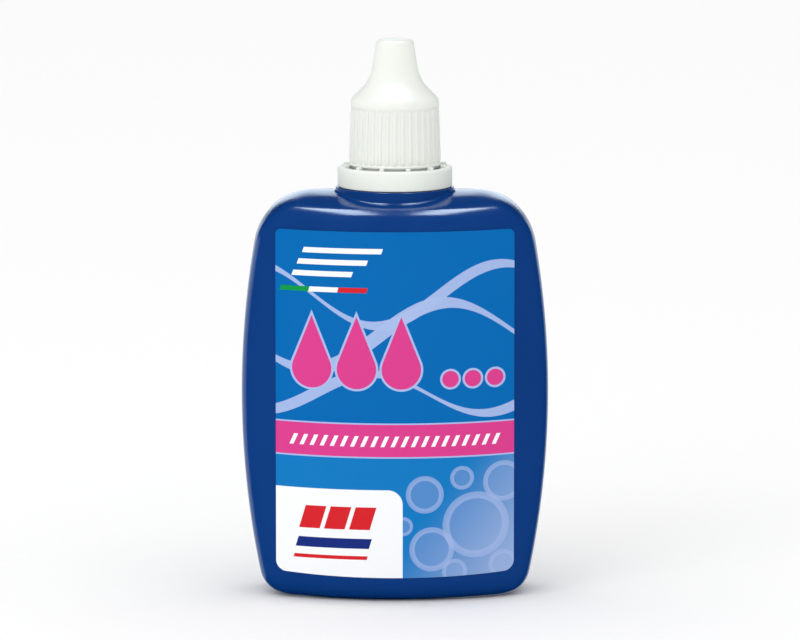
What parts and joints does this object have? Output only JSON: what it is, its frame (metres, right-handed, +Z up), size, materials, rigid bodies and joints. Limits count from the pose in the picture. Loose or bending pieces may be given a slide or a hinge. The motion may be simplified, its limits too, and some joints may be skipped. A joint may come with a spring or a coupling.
{
  "type": "bicycle lube bottle",
  "caption": "Flat oval blow-moulded oil bottle with a film label, a dropper plug in its neck, a tamper band and a white screw cap with a ribbed skirt and long nose.",
  "frame": {"origin": "centre of the base, on the surface the bottle stands on", "axes": "+Z up along the neck axis, +X to the right across the width, +Y to the back; the label faces -Y"},
  "size_m": [0.058, 0.0301, 0.105],
  "materials": {
    "flask_plastic": "smooth dark blue polyethylene",
    "label_film": "printed film, semi gloss",
    "plug_plastic": "natural polyethylene, satin",
    "cap_plastic": "white polypropylene, satin",
    "band_plastic": "white polypropylene, satin"
  },
  "bodies": {
    "bottle": {"bottle": "flask_plastic", "front_label": "label_film", "dropper_nozzle": "plug_plastic"},
    "band": {"tamper_band": "band_plastic"},
    "cap": {"screw_cap": "cap_plastic"}
  },
  "joints": [
    {"name": "cap_turn", "type": "hinge", "parent": "bottle", "child": "band", "pos_m": [0, 0, 0.0794], "axis": [0, 0, 1], "range_deg": [0, 2880]},
    {"name": "cap_rise", "type": "slide", "parent": "band", "child": "cap", "axis": [0, 0, 1], "range_m": [0, 0.024]}
  ],
  "couplings": [
    {"joint": "cap_rise", "follows": "cap_turn", "m_per_rad": 0.00047746}
  ]
}
